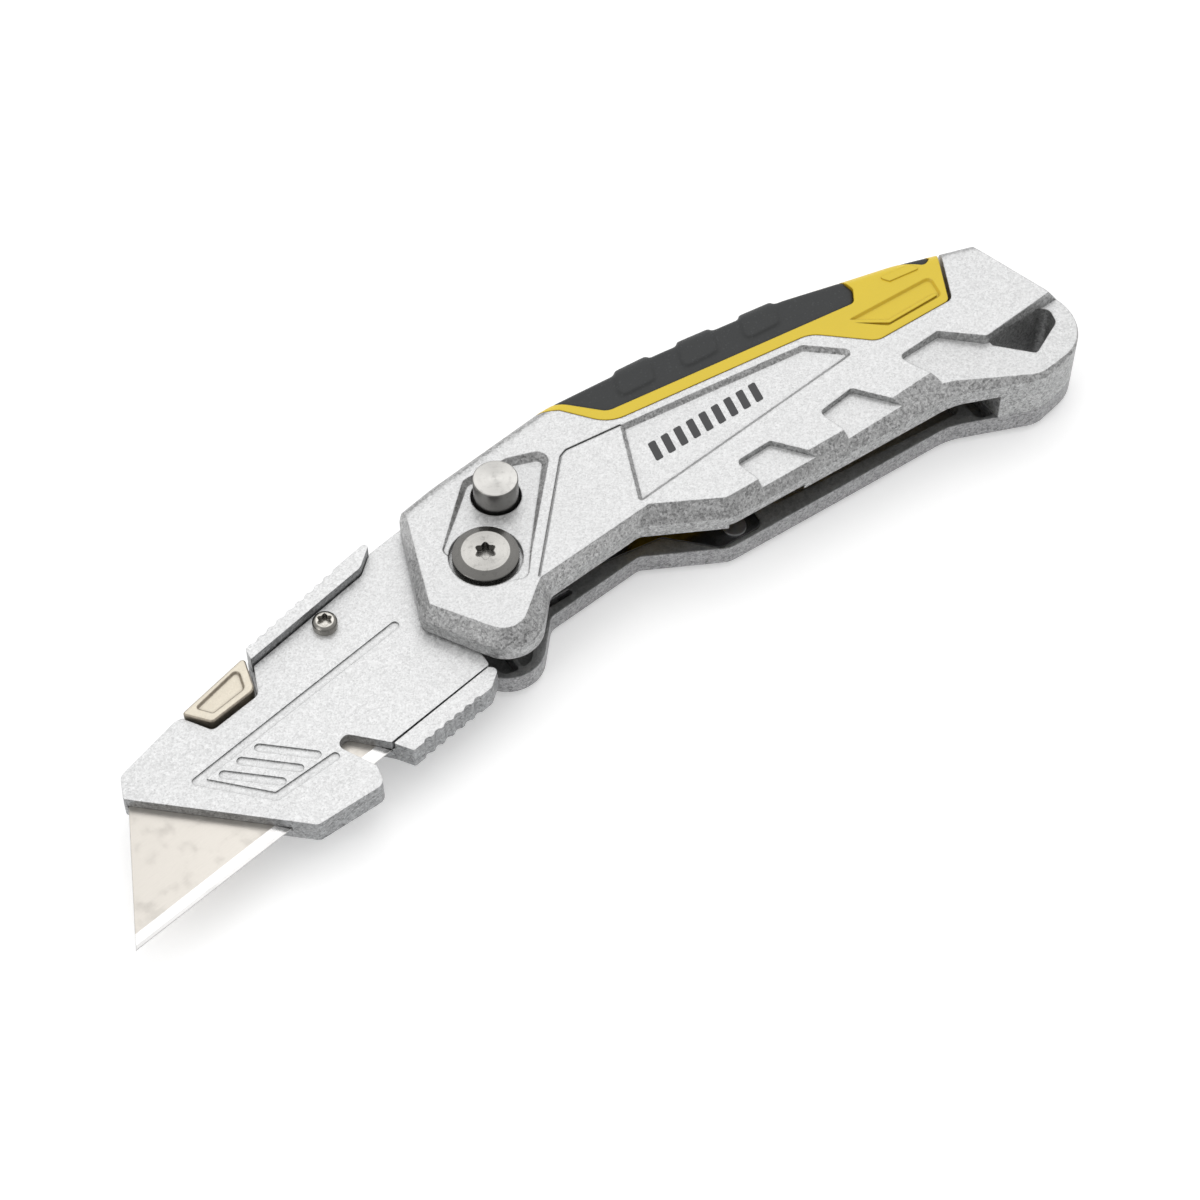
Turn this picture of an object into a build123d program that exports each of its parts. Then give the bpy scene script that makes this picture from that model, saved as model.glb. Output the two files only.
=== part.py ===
from build123d import *
import math
import os

# A folding utility knife lying open on its back shell, in millimetres.
# The shapes are laid out about the fold pivot: X runs towards the butt, Y towards
# the spine and Z up out of the front face. The last function moves every piece so
# that the origin is the bottom centre of the open knife.

# ---- driving dimensions ----
HANDLE_THICK = 14.5
SHELL_THICK = 4.8
BLADE_LENGTH = 61.0
BLADE_WIDTH = 19.0
BLADE_THICK = 0.6
BLADE_END = 14.0              # length of each sloping end, measured along the edge
BLADE_ANGLE = 11.0            # degrees, edge against the handle's length
BLADE_TIP = (-71.6, -25.9)
BEVEL_WIDTH = 1.9             # ground strip along the cutting edge
EDGE_HALF = 0.03              # half thickness left at the cutting edge

BACK_INSIDE = SHELL_THICK
FRONT_INSIDE = HANDLE_THICK - SHELL_THICK
EDGE_TOP = 12.15              # top of the plain side wall of the front shell
BACK_BEVEL = 1.3
SPINE_ROUND = 2.5

HOLDER_LOW = 5.2
HOLDER_TOP = 9.3
BLADE_LOW = 6.95
SEAM_Z = 7.6                  # joint between the two holder plates
LEDGE_TOP = 11.0
RELEASE_TOP = 10.2

PIVOT_R = 2.5
PIVOT_HEAD_R = 4.9
PIVOT_SEAT = 13.2             # floor of the round recess under the pivot's head
TANG_R = 8.6
LOCK_AT = (7.27, 8.9)
LOCK_CAP_R = 3.35
LOCK_STEM_R = 2.3
LOCK_HOLE_R = 3.78
LOCK_TOP = 18.0
HINGE_AT = (18.4, 16.9)
HINGE_R = 1.0
HOLDER_SCREW_AT = (-24.1, 5.3)
SCREWS_AT = [(1.6, 12.3), (94.5, 3.5), (86.0, -11.4)]
SCREW_R = 1.0
SCREW_HEAD_R = 1.7
FIT = 0.05                    # radial clearance of a running fit
THROUGH = 40.0                # high enough to cut through everything

LINER_LOW = 4.0
RELEASE_SPRING_AT = (-43.0, 2.3)

SPARE_LOW = 10.32             # underside of the lowest spare blade
SPARE_STEP = 0.62
SPARE_COUNT = 3
SPARE_AT = (23.5, -3.9)
TRAY_LOW = 9.9
STORE_TOP = 12.35

# ---- outlines: (x, y, corner radius), counter-clockwise ----
SPINE = [(82.5, 14.3, 20), (75.0, 15.65, 20), (64.0, 17.8, 20), (42.0, 19.3, 40),
         (22.0, 19.5, 20), (0.0, 15.8, 20)]
HANDLE = [(-6.3, 14.3, 2.0), (-12.9, -3.1, 2.5), (-3.2, -19.0, 5.6), (5.6, -8.5, 2.0),
          (22.4, -6.35, 2.0), (34.8, -12.4, 4.0), (58.0, -11.95, 40), (76.0, -11.5, 12),
          (89.5, -16.4, 5.0), (103.4, -13.0, 8.5), (96.3, 10.6, 2.5)] + SPINE
FACE = [(-5.23, 14.55, 0.3), (-11.2, -2.9, 0.4), (-3.49, -14.4, 3.5), (4.5, -7.6, 0.8),
        (25.0, -5.0, 0.8), (35.2, -10.2, 3.0), (58.0, -9.2, 40), (76.0, -7.2, 10),
        (89.3, -13.2, 4.0), (101.27, -10.44, 7.0), (94.83, 10.99, 1.8)] + SPINE
SPINE_RUNS = 7                # runs at the end of HANDLE that make the spine

DIAMOND = [(-4.9, 4.2, 1.0), (-3.4, -4.6, 1.5), (3.2, -6.6, 1.5), (6.2, -2.7, 2.0),
           (18.6, 11.6, 1.8), (12.0, 13.6, 2.0), (4.4, 13.6, 2.0)]
PANEL = [(23.9, -4.1, 0.4), (67.9, 2.2, 0.9), (61.3, 7.65, 1.5), (29.5, 9.65, 0.4)]
WINDOWS = [[(40.0, -5.45, 0.9), (41.0, -9.6, 2.0), (40.4, -16.0, 0), (55.6, -16.0, 0), (46.6, -4.95, 0.8)],
           [(55.8, -4.5, 0.9), (57.0, -8.9, 2.0), (56.7, -16.0, 0), (72.9, -16.0, 0), (62.6, -3.3, 0.8)]]
BUTT_STEP = [(72.1, -2.2, 0.9), (74.9, -8.5, 3.0), (75.0, -24.0, 0), (110.0, -24.0, 0), (110.0, -2.9, 0),
             (86.0, -6.15, 0.6), (80.2, -1.3, 0.6)]
LANYARD = [(86.5, -6.3, 0.4), (86.5, -7.2, 0.4), (91.4, -12.0, 0.8), (97.9, -8.5, 1.5), (98.9, -4.85, 1.3)]
MAGAZINE = [(17.6, 20.3, 0), (23.4, 16.9, 1.0), (28.4, 10.8, 6.0), (63.5, 8.7, 5.0), (71.4, 2.0, 3.0),
            (86.0, 2.6, 1.5), (92.6, 16.1, 0), (92.6, 24.0, 0), (17.6, 24.0, 0)]
MAGAZINE_GAPS = [0.15, 0.15, 0.15, 0.15, 0.15, 0.6, 0.0, 0.0, 0.0]
GRIP = [(22.6, 19.6, 0), (29.4, 12.9, 2.5), (72.9, 10.2, 1.2), (74.4, 12.6, 0.8), (73.6, 18.0, 0), (60.0, 24.0, 0),
        (24.0, 24.0, 0)]
REAR_GRIP = [(83.2, 13.6, 0.5), (86.6, 10.5, 1.0), (88.2, 11.3, 0.6), (87.6, 15.0, 0), (84.0, 16.0, 0)]

HOLDER = [(-62.3, -4.9, 0.6), (-41.6, -23.3, 1.0), (-30.5, -22.5, 1.5), (-29.9, -19.3, 0.5),
          (-33.0, -13.4, 1.1), (-31.0, -12.4, 1.1), (-26.1, -17.4, 0.2), (-24.3, -20.0, 0.4),
          (-9.6, -16.9, 1.0), (-7.1, -14.6, 0.8), (-7.75, -12.6, 0.5), (-7.75, -2.0, 0.5), (-1.6, 8.6, 0.5),
          (-3.3, 14.9, 0.8), (-12.6, 13.8, 1.0), (-18.9, 12.1, 2.0), (-36.2, 6.9, 0.6), (-36.4, 6.2, 0.2),
          (-49.2, 2.6, 1.0), (-60.9, -1.4, 1.5)]
FRONT_PLATE = [(-62.3, -4.9, 0.6), (-41.6, -23.3, 1.0), (-30.5, -22.5, 1.5), (-29.9, -19.3, 0.5),
               (-33.0, -13.4, 1.1), (-31.0, -12.4, 1.1), (-26.3, -17.15, 0.2), (-7.75, -13.35, 0.6),
               (-7.75, -2.0, 0.5), (-1.6, 8.6, 0.5), (-3.3, 14.9, 0.8), (-12.4, 12.9, 1.0), (-15.2, 10.2, 2.0),
               (-36.2, 4.75, 0.3), (-38.1, 0.1, 1.2), (-46.3, -1.65, 1.0), (-49.0, 2.5, 0.5), (-50.2, 2.5, 0.5),
               (-60.9, -1.4, 1.5)]
LOWER_LEDGE = [(-26.1, -17.4, 0.2), (-24.3, -20.0, 0.4), (-9.6, -16.9, 1.0), (-7.1, -14.6, 0.8), (-8.1, -13.6, 0.5)]
UPPER_LEDGE = [(-36.35, 4.9, 0.1), (-15.2, 10.35, 2.0), (-12.2, 13.1, 0.4), (-12.6, 13.8, 0.5),
               (-18.9, 12.1, 2.0), (-36.2, 6.9, 0.6)]
RELEASE = [(-49.0, 2.62, 0.4), (-45.9, -1.0, 0.9), (-38.2, 0.62, 1.4), (-36.75, 6.4, 0.5)]
RELEASE_DISH = [(-46.9, 2.4, 0.4), (-45.1, 0.25, 0.4), (-39.3, 1.5, 0.9), (-38.4, 5.2, 0.7)]
RELEASE_BAY = [(-44.0, -6.0, 0), (-35.0, -6.0, 0), (-35.0, 3.0, 0), (-44.0, 3.0, 0)]
RELEASE_SLOT = [(-49.4, 2.4, 0), (-46.3, -1.65, 1.0), (-38.1, 0.1, 1.2), (-36.35, 6.2, 0), (-36.8, 9.0, 0),
                (-50.0, 6.0, 0)]
LINER = [(-8.0, 4.0, 2.0), (-6.0, -6.8, 3.0), (6.0, -4.2, 2.0), (15.0, -4.2, 1.0), (27.3, -5.3, 1.0),
         (33.6, -11.7, 1.0), (41.3, -11.6, 1.5), (42.6, 3.0, 2.0), (30.0, 9.3, 3.0), (12.5, 13.4, 2.0),
         (4.5, 13.0, 1.5), (-1.0, 8.0, 2.0)]
LINER_RIVET_AT = (37.5, -9.4)
NOSE_POCKETS = [[(-8.4, -8.0, 0.6), (-5.3, -13.4, 1.5), (-3.1, -13.8, 0.5), (-3.1, -7.9, 0.3)],
                [(-2.5, -7.9, 0.3), (-2.5, -13.8, 0.5), (-0.8, -13.4, 1.5), (3.6, -7.9, 0.6)]]
LONG_POCKET = [(44.5, -9.2, 1.0), (79.2, -10.1, 1.0), (79.2, 0.5, 2.0), (70.0, 0.5, 3.0), (60.0, 7.0, 4.0),
               (44.5, 7.5, 1.0)]
AROUND = [(-30, -35, 0), (120, -35, 0), (120, 35, 0), (-30, 35, 0)]
BUTT_BLOCK = [(83.3, -30, 0), (120, -30, 0), (120, 30, 0), (83.3, 30, 0)]
END_POCKET = [(80.5, -12.7, 1.2), (83.2, -13.3, 0.3), (83.2, 0.0, 1.0), (80.5, 0.0, 1.0)]


# ---- shape helpers ----
def rounded_corner(before, corner, after):
    """Start, middle and end of the arc that rounds a corner."""
    x, y, radius = corner
    back = Vector(before[0] - x, before[1] - y).normalized()
    ahead = Vector(after[0] - x, after[1] - y).normalized()
    half = math.acos(max(-1.0, min(1.0, back.dot(ahead)))) / 2
    inward = (back + ahead).normalized() * (radius / math.sin(half) - radius)
    reach = radius / math.tan(half)
    point = Vector(x, y)
    return point + back * reach, point + inward, point + ahead * reach


def outline(corners):
    """A closed line of straight runs joined by tangent arcs."""
    count = len(corners)
    arcs = [rounded_corner(corners[i - 1], corners[i], corners[(i + 1) % count]) for i in range(count)]
    edges = []
    for i, (start, middle, end) in enumerate(arcs):
        if corners[i][2]:
            edges.append(ThreePointArc(start, middle, end))
        edges.append(Line(end, arcs[(i + 1) % count][0]))
    return Wire(edges)


def plate(corners, low, high):
    """A flat plate with the given outline between two heights."""
    return extrude(Pos(0, 0, low) * make_face(outline(corners)), amount=high - low, dir=(0, 0, 1))


def disc(at, radius, low, high):
    """An upright cylinder."""
    return Pos(at[0], at[1], (low + high) / 2) * Cylinder(radius, high - low)


def ring(at, outer, inner, low, high):
    return disc(at, outer, low, high) - disc(at, inner, low, high)


def side_by_side(solids):
    """Separate solids kept together as one node."""
    group = solids[0]
    for solid in solids[1:]:
        group += solid
    return group


def bar(start, end, half_width, low, high):
    """A strip with round ends along a straight line."""
    length = math.dist(start, end)
    turn = math.degrees(math.atan2(end[1] - start[1], end[0] - start[0]))
    middle = ((start[0] + end[0]) / 2, (start[1] + end[1]) / 2)
    strip = Pos(middle[0], middle[1], (low + high) / 2) * Rot(0, 0, turn) * Box(length, 2 * half_width, high - low)
    return strip + disc(start, half_width, low, high) + disc(end, half_width, low, high)


def inset(corners, widths):
    """The corners moved inwards, each run that leaves a corner by its own width."""
    moved = []
    for i, (x, y, radius) in enumerate(corners):
        before = corners[i - 1]
        after = corners[(i + 1) % len(corners)]
        angle_in = math.atan2(y - before[1], x - before[0])
        angle_out = math.atan2(after[1] - y, after[0] - x)
        turn = math.sin(angle_out - angle_in)
        width_in = widths[i - 1]
        width_out = widths[i]
        along = (width_in * math.cos(angle_out - angle_in) - width_out) / turn
        new_x = x - width_in * math.sin(angle_in) + along * math.cos(angle_in)
        new_y = y + width_in * math.cos(angle_in) + along * math.sin(angle_in)
        change = (width_in + width_out) / 2 * (1 if turn > 0 else -1)
        moved.append((new_x, new_y, max(radius - change, 0.05) if radius else 0))
    return moved


def loft_between(low_corners, low, high_corners, high):
    """Straight-sided walls between two outlines with the same corners."""
    low_wire = Pos(0, 0, low) * outline(low_corners)
    high_wire = Pos(0, 0, high) * outline(high_corners)
    return Solid.make_loft([low_wire, high_wire], ruled=True)


def recess(corners, floor, slope=1.0, top=HANDLE_THICK):
    """The tool that sinks a panel into the face: walls lean in by slope times the depth."""
    over = 0.4
    wide = inset(corners, [-over * slope] * len(corners))
    narrow = inset(corners, [(top - floor) * slope] * len(corners))
    return loft_between(narrow, floor, wide, top + over)


def above_slope(point, low, rise, direction):
    """Everything above a plane that passes the point at height low and rises along a direction."""
    tilt = math.degrees(math.atan(rise))
    block = Box(400, 400, 60, align=(Align.CENTER, Align.CENTER, Align.MIN))
    return Pos(point[0], point[1], low) * Rot(0, 0, direction) * Rot(0, -tilt, 0) * block


def on_blade(along, across):
    """A place given along the cutting edge from the tip and across the blade from the edge."""
    angle = math.radians(BLADE_ANGLE)
    x = BLADE_TIP[0] + along * math.cos(angle) - across * math.sin(angle)
    y = BLADE_TIP[1] + along * math.sin(angle) + across * math.cos(angle)
    return (x, y)


def on_blade_corners(places):
    return [(*on_blade(along, across), radius) for along, across, radius in places]


def torx(at, radius, low, high):
    """A six-lobed driver hole."""
    hole = disc(at, radius * 0.72, low, high)
    for k in range(6):
        angle = math.radians(60 * k)
        lobe = (at[0] + radius * 0.7 * math.cos(angle), at[1] + radius * 0.7 * math.sin(angle))
        hole += disc(lobe, radius * 0.3, low, high)
    return hole


def coil_spring(at, low, high, mean_radius, wire_radius, turns):
    """A helical spring standing on its first turn."""
    pitch = (high - low - 2 * wire_radius) / turns
    path = Pos(at[0], at[1], low + wire_radius) * Helix(pitch, pitch * turns, mean_radius)
    section = Plane(origin=path @ 0, z_dir=path % 0) * Circle(wire_radius)
    return sweep(section, path=path, is_frenet=True)


def serrate(start, end, count, depth, low, high):
    """The cutting tool for a row of thumb notches along a straight edge."""
    cuts = []
    for k in range(count):
        share = (k + 0.5) / count
        x = start[0] + (end[0] - start[0]) * share
        y = start[1] + (end[1] - start[1]) * share
        cuts.append(disc((x, y), depth, low, high))
    return cuts


# ---- the handle's outside form, shared by shells, magazine and grip ----
def spine_form(lift=0.0, skin=0.0):
    """A wide slab whose spine edge is rounded on both faces; lift moves the spine out."""
    line = [(x, y + lift, radius) for x, y, radius in SPINE]
    corners = [(-26.0, 9.61 + lift, 0), (-26.0, -40.0, 0), (112.0, -40.0, 0), (112.0, 6.39 + lift, 0)] + line
    slab = plate(corners, skin, HANDLE_THICK - skin)
    edges = [e for e in slab.edges() if e.center().Y > 5 and abs(e.center().Z - HANDLE_THICK / 2) > 3]
    edges = [e for e in edges if -25.9 < e.center().X < 111.9]
    return fillet(edges, SPINE_ROUND - skin)


def handle_form(spine):
    """The whole handle as one solid: steep wide bevels in front, a small bevel behind."""
    back_widths = [BACK_BEVEL] * (len(HANDLE) - SPINE_RUNS) + [0.0] * SPINE_RUNS
    form = plate(HANDLE, BACK_BEVEL, EDGE_TOP)
    form += loft_between(HANDLE, EDGE_TOP, FACE, HANDLE_THICK)
    form += loft_between(inset(HANDLE, back_widths), 0, HANDLE, BACK_BEVEL)
    return form & spine


# ---- spare blade store, shared by the front shell and the magazine ----

def spare_outline(margin):
    x, y = SPARE_AT
    corners = [(x, y, 0), (x + BLADE_LENGTH, y, 0), (x + BLADE_LENGTH - BLADE_END, y + BLADE_WIDTH, 0),
               (x + BLADE_END, y + BLADE_WIDTH, 0)]
    return inset(corners, [-margin] * 4) if margin else corners


def store_cavity():
    """Room in the front shell for the tray and for its swing out of the spine."""
    corners = [(*on_store(-1.7, -1.1), 0.8), (96.0, SPARE_AT[1] - 1.1, 0), (96.0, 30.0, 0), (34.0, 30.0, 0),
               (*on_store(-1.7, 14.0), 0)]
    reach = math.dist(HINGE_AT, (SPARE_AT[0] + BLADE_LENGTH, SPARE_AT[1])) + 1.6
    return plate(corners, FRONT_INSIDE - 1, STORE_TOP) & disc(HINGE_AT, reach, 0, 20)


def on_store(out, up):
    """A place beside the spare blades' front end: out from the sloping end, up from the edge."""
    length = math.hypot(BLADE_END, BLADE_WIDTH)
    x = SPARE_AT[0] + up * BLADE_END / BLADE_WIDTH + out * length / BLADE_WIDTH
    return (x, SPARE_AT[1] + up)


# ---- handle pieces ----
def release_relief():
    """Clearance under the front shell for the release button of the folded holder."""
    inner = math.hypot(RELEASE[3][0], 0) - 0.2
    outer = math.hypot(RELEASE[0][0], RELEASE[0][1]) + 0.5
    sector = [(0.0, 0.0, 0), (0.0, -90.0, 0), (90.0, -90.0, 0),
              (90.0, -90.0 * math.tan(math.radians(11.2)), 0)]
    swept = ring((0, 0), outer, inner, FRONT_INSIDE - 1, RELEASE_TOP + 0.35)
    return swept & plate(sector, FRONT_INSIDE - 1, RELEASE_TOP + 0.35)


def front_shell(form):
    shell = form & plate(AROUND, FRONT_INSIDE, 20)
    butt = form & plate(BUTT_BLOCK, BACK_INSIDE, FRONT_INSIDE)
    wall = [(-0.2, 10.7, 0.5), (3.4, 10.7, 1.5), (4.8, 14.0, 1.5), (15.9, 15.5, 0.5), (15.9, 22.0, 0),
            (-2.4, 22.0, 0), (-2.4, 14.2, 0.5)]
    shell += butt + (form & plate(wall, BACK_INSIDE, FRONT_INSIDE))
    shell -= plate(MAGAZINE, 0, 20)
    shell -= store_cavity()
    shell -= release_relief()
    shell -= recess(DIAMOND, HANDLE_THICK - 1.5) & above_slope((-3.0, -4.0), HANDLE_THICK, -0.045, 53)
    shell -= recess(PANEL, HANDLE_THICK - 0.7)
    for window in WINDOWS:
        shell -= recess(window, HANDLE_THICK - 1.0, slope=0.15)
    shell -= recess(BUTT_STEP, 11.5, slope=0.25) & above_slope((73.0, 0.0), HANDLE_THICK - 1.0, -0.045, 0)
    shell -= plate(LANYARD, -1, 20)
    for start, end in [((4.6, -7.2), (18.9, 9.5)), ((18.9, 9.5), (20.2, 10.1)), ((20.2, 10.1), (29.5, 9.65))]:
        shell -= bar(start, end, 0.16, HANDLE_THICK - 0.35, HANDLE_THICK + 1)
    shell -= disc((0, 0), PIVOT_HEAD_R + 0.55, PIVOT_SEAT, THROUGH)
    shell -= disc((0, 0), PIVOT_R, 0, 20) + disc(LOCK_AT, LOCK_HOLE_R, 0, 20)
    shell -= disc(HINGE_AT, HINGE_R, 0, 13)
    for at in SCREWS_AT:
        shell -= disc(at, SCREW_R, 0, 11.5)
    return shell


def back_shell(form):
    shell = form & plate(AROUND, -1, BACK_INSIDE)
    shell -= plate(MAGAZINE, -1, 20)
    shell -= plate(LANYARD, -1, 20)
    shell -= plate(LINER, LINER_LOW, 20)
    for pocket in NOSE_POCKETS + [LONG_POCKET, END_POCKET]:
        shell -= plate(pocket, 2.2, 20)
    shell -= bar((5.8, -6.4), (10.2, -6.1), 0.5, 2.2, 20)
    shell -= disc((0, 0), PIVOT_R, -1, 20) + disc((0, 0), 4.5, -1, 1.5)
    shell -= disc(LOCK_AT, 3.5, 1.3, 20)
    shell -= disc(HINGE_AT, HINGE_R, 0.4, 20)
    shell -= disc(LINER_RIVET_AT, 0.9, 2.0, 20)
    for at in SCREWS_AT:
        shell -= disc(at, SCREW_R, -1, 20) + disc(at, SCREW_HEAD_R + 0.1, -1, 1.7)
    return shell


def liner_plate():
    liner = plate(inset(LINER, [0.1] * len(LINER)), LINER_LOW, BACK_INSIDE)
    liner -= disc((0, 0), PIVOT_R, 0, 20) + disc(LOCK_AT, LOCK_STEM_R + 0.2, 0, 20)
    return liner - disc(LINER_RIVET_AT, 0.9, 0, 20)


def liner_rivet():
    head = disc(LINER_RIVET_AT, 1.8, BACK_INSIDE, BACK_INSIDE + 0.25)
    return head + disc(LINER_RIVET_AT, 0.9, 2.0, BACK_INSIDE)


def shell_screws():
    screws = []
    for at in SCREWS_AT:
        screw = disc(at, SCREW_HEAD_R, 0.3, 1.7) + disc(at, SCREW_R, 1.7, 10.5)
        screws.append(screw - torx(at, 1.0, 0, 1.1))
    return side_by_side(screws)


def pivot_screw():
    head = disc((0, 0), PIVOT_HEAD_R, PIVOT_SEAT, 15.7)
    head = chamfer(head.edges().sort_by(Axis.Z)[-1], 0.65, 1.4)
    shank = disc((0, 0), PIVOT_R, 1.5, PIVOT_SEAT) + disc((0, 0), 1.5, 0.5, 1.5)
    return head + shank - torx((0, 0), 1.55, 14.3, 20)


def pivot_nut():
    nut = disc((0, 0), 4.4, 0.2, 1.5)
    nut = chamfer(nut.edges().sort_by(Axis.Z)[0], 0.3)
    nut -= disc((0, 0), 1.5, 0, 5)
    for side in (-1, 1):
        nut -= disc((3.0 * side, 0), 0.6, 0, 1.0)
    return nut


def pivot_washers():
    low = ring((0, 0), 8.0, PIVOT_R + FIT, BACK_INSIDE + 0.05, HOLDER_LOW - 0.05)
    high = ring((0, 0), 8.0, PIVOT_R + FIT, HOLDER_TOP + 0.05, FRONT_INSIDE - 0.05)
    return side_by_side([low, high])


def lock_button():
    cap = disc(LOCK_AT, LOCK_CAP_R, 12.6, LOCK_TOP)
    cap = chamfer(cap.edges().sort_by(Axis.Z)[-1], 0.12)
    return cap - disc(LOCK_AT, 1.5, 12, 15.5)


def lock_pin():
    pin = disc(LOCK_AT, LOCK_STEM_R, 3.4, 12.6) + disc(LOCK_AT, 3.2, 3.4, 3.95) + disc(LOCK_AT, 1.5, 12.6, 15.5)
    return pin - disc(LOCK_AT, 1.6, 0, 9.4)


def lock_bushing():
    return ring(LOCK_AT, LOCK_HOLE_R, LOCK_STEM_R + FIT, FRONT_INSIDE, 10.5)


def lock_spring():
    return coil_spring(LOCK_AT, 1.32, 9.38, 1.2, 0.2, 8)


# ---- blade holder ----
def release_tooth(margin, low, high):
    corners = on_blade_corners([(35.2, 17.6, 0.2), (37.3, 17.6, 0.2), (37.3, 20.3, 0), (35.2, 20.3, 0)])
    return plate(inset(corners, [-margin] * 4) if margin else corners, low, high)


def tang_disc(low, high):
    return disc((0, 0), TANG_R, low, high)


def holder_back_plate():
    body = plate(HOLDER, HOLDER_LOW, SEAM_Z) + tang_disc(HOLDER_LOW, SEAM_Z)
    body += plate(LOWER_LEDGE, SEAM_Z, HOLDER_TOP) + plate(UPPER_LEDGE, SEAM_Z, LEDGE_TOP)
    for cut in serrate((-35.6, 7.75), (-18.7, 12.85), 9, 0.95, 0, 20):
        body -= cut
    for cut in serrate((-22.6, -20.25), (-11.3, -17.85), 6, 0.9, 0, 20):
        body -= cut
    body -= plate(inset(blade_corners(), [-0.1] * 4), BLADE_LOW, SEAM_Z)
    body -= plate(RELEASE_SLOT, 6.5, 20)
    body -= release_tooth(0.3, 0, 20) & plate(RELEASE_BAY, 0, SEAM_Z)
    body -= disc(RELEASE_SPRING_AT, 1.5, 5.6, 20)
    body -= disc((0, 0), PIVOT_R + FIT, 0, 20) + disc(HOLDER_SCREW_AT, 1.0, 0, 20)
    return body


def holder_front_plate():
    body = plate(inset(FRONT_PLATE, [0.05] * len(FRONT_PLATE)), SEAM_Z, HOLDER_TOP) + tang_disc(SEAM_Z, HOLDER_TOP)
    body -= release_tooth(0.3, SEAM_Z - 1, 8.5)
    line = [(-15.7, -0.1), (-52.3, -7.9), (-44.2, -16.1), (-34.1, -14.8)]
    for start, end in zip(line, line[1:]):
        body -= bar(start, end, 0.675, HOLDER_TOP - 0.25, 20)
    for k in range(3):
        start = (-48.6 + 3.15 * k, -8.95 + 0.6 * k)
        body -= bar(start, (start[0] + 6.2, start[1] - 5.4), 0.68, HOLDER_TOP - 0.25, 20)
    return body - disc((0, 0), PIVOT_R + FIT, 0, 20) - disc(HOLDER_SCREW_AT, 1.0, 0, 20)


def holder_screw():
    head = disc(HOLDER_SCREW_AT, 1.85, HOLDER_TOP, HOLDER_TOP + 1.45)
    head = fillet(head.edges().sort_by(Axis.Z)[-1], 0.6)
    shank = disc(HOLDER_SCREW_AT, 1.0, 5.6, HOLDER_TOP)
    return head + shank - torx(HOLDER_SCREW_AT, 1.15, HOLDER_TOP + 0.5, 20)


def blade_corners():
    return on_blade_corners([(0, 0, 0), (BLADE_LENGTH, 0, 0), (BLADE_LENGTH - BLADE_END, BLADE_WIDTH, 0),
                             (BLADE_END, BLADE_WIDTH, 0)])


def ground_blade(corners, notches, low):
    """A trapezoid blade with two back notches and an edge ground from both sides."""
    body = plate(corners, low, low + BLADE_THICK)
    for notch in notches:
        body -= notch
    (x0, y0, _), (x1, y1, _) = corners[0], corners[1]
    half = BLADE_THICK / 2
    section = [(-5, -0.5, EDGE_HALF), (-5, 0, EDGE_HALF), (-5, BEVEL_WIDTH, half), (-5, BEVEL_WIDTH, 1.0), (-5, -0.5, 1.0)]
    wedge = extrude(make_face(Polyline(*section, close=True)), amount=BLADE_LENGTH + 10, dir=(1, 0, 0))
    place = Pos(x0, y0, low + half) * Rot(0, 0, math.degrees(math.atan2(y1 - y0, x1 - x0)))
    return body - place * wedge - place * mirror(wedge, Plane.XY)


def blade():
    notches = [plate(on_blade_corners([(u - 1.5, 16.6, 0.6), (u + 1.5, 16.6, 0.6), (u + 1.5, 20, 0), (u - 1.5, 20, 0)]),
                     0, 20) for u in (24.75, 36.25)]
    return ground_blade(blade_corners(), notches, BLADE_LOW)


def spare_blades():
    x, y = SPARE_AT
    notches = [plate([(x + u - 1.5, y + 16.6, 0.6), (x + u + 1.5, y + 16.6, 0.6), (x + u + 1.5, y + 20, 0),
                      (x + u - 1.5, y + 20, 0)], 0, 20) for u in (24.75, 36.25)]
    stack = [ground_blade(spare_outline(0), notches, SPARE_LOW + SPARE_STEP * k) for k in range(SPARE_COUNT)]
    return side_by_side(stack)


def release_button():
    body = plate(RELEASE, 7.7, RELEASE_TOP)
    body = chamfer(body.edges().group_by(Axis.Z)[-1], 0.2)
    body -= recess(RELEASE_DISH, RELEASE_TOP - 0.45, slope=0.4, top=RELEASE_TOP)
    body += release_tooth(0, 6.4, 8.3)
    return body - disc(RELEASE_SPRING_AT, 1.5, 7, 9.2)


def release_spring():
    return coil_spring(RELEASE_SPRING_AT, 5.62, 9.18, 1.1, 0.18, 5)


# ---- magazine ----
def magazine_region():
    return plate(inset(MAGAZINE, MAGAZINE_GAPS), -1, 20)


def grip_region(form, core):
    """The skin of soft rubber moulded over the magazine."""
    skin = (form & (plate(GRIP, 0, 20) + plate(REAR_GRIP, 0, 20))) - core
    return skin & magazine_region()


def grip_pads(raised_form, core):
    """Three sloping pads that stand proud of the rubber on the spine and both faces."""
    pads = []
    for k in range(3):
        x = 32.6 + 11.1 * k
        y = 14.3 - 0.5 * k
        corners = [(x, y, 0.8), (x + 6.2, y, 0.8), (x + 9.2, y + 8.0, 0), (x + 3.4, y + 8.0, 0)]
        pads.append((raised_form & plate(corners, 0, 20)) - core)
    return pads


def magazine_grip(raised_form, thin_form, core):
    skin = grip_region(thin_form, core)
    for pad in grip_pads(raised_form, core):
        skin += pad
    return skin


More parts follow.
